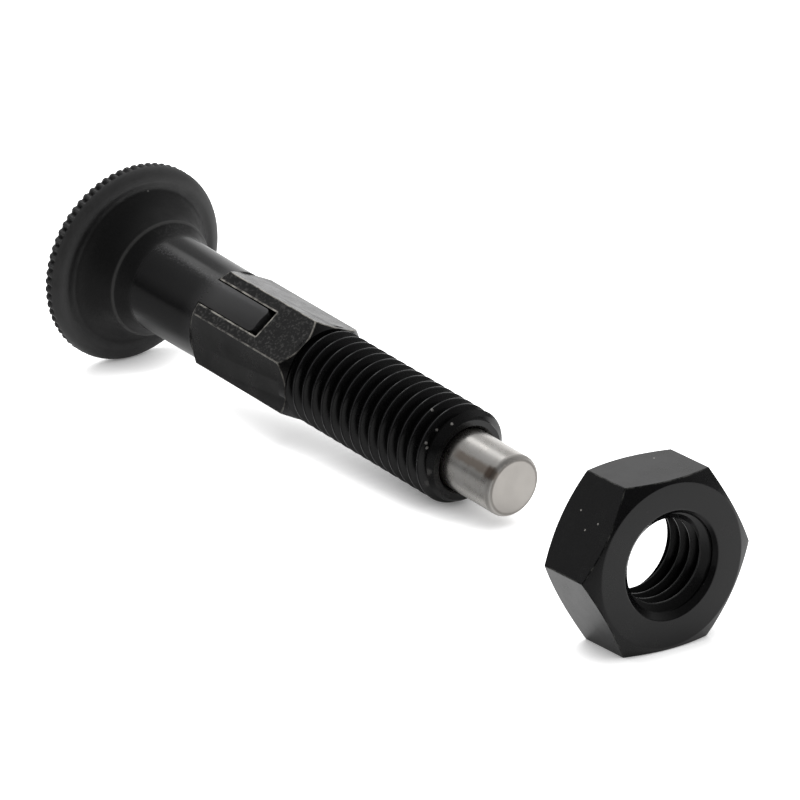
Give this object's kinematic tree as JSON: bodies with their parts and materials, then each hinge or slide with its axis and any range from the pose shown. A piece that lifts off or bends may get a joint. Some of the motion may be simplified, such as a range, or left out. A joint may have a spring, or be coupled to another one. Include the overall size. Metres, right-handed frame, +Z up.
{
  "type": "indexing plunger",
  "caption": "Spring-loaded indexing plunger with a round pull knob that parks when turned, a threaded barrel and its lock nut, lying on a surface",
  "frame": {"origin": "under the middle of the plunger and its nut, on the surface that they lie on", "axes": "+X along the plunger in plan from the knob to the pin, +Z up; the plunger's own axis drops 5.89 degrees towards the pin"},
  "size_m": [0.0978, 0.0286, 0.021],
  "materials": {
    "blackened_steel": "black oxide, satin",
    "stainless_steel": "ground, satin",
    "spring_steel": "drawn wire",
    "black_plastic": "moulded, fine grain",
    "nut_steel": "black oxide, oiled"
  },
  "bodies": {
    "housing": {"body": "blackened_steel", "spring": "spring_steel", "lock_nut": "nut_steel"},
    "puller": {"knob": "black_plastic", "locking_pin": "stainless_steel"}
  },
  "joints": [
    {"name": "knob_pull", "type": "slide", "parent": "housing", "child": "puller", "axis": [-0.9947, 0, 0.1025], "range_m": [0, 0.009], "stiffness_N_per_m": 1200, "springref_m": -0.005, "deforming": ["spring"]}
  ]
}
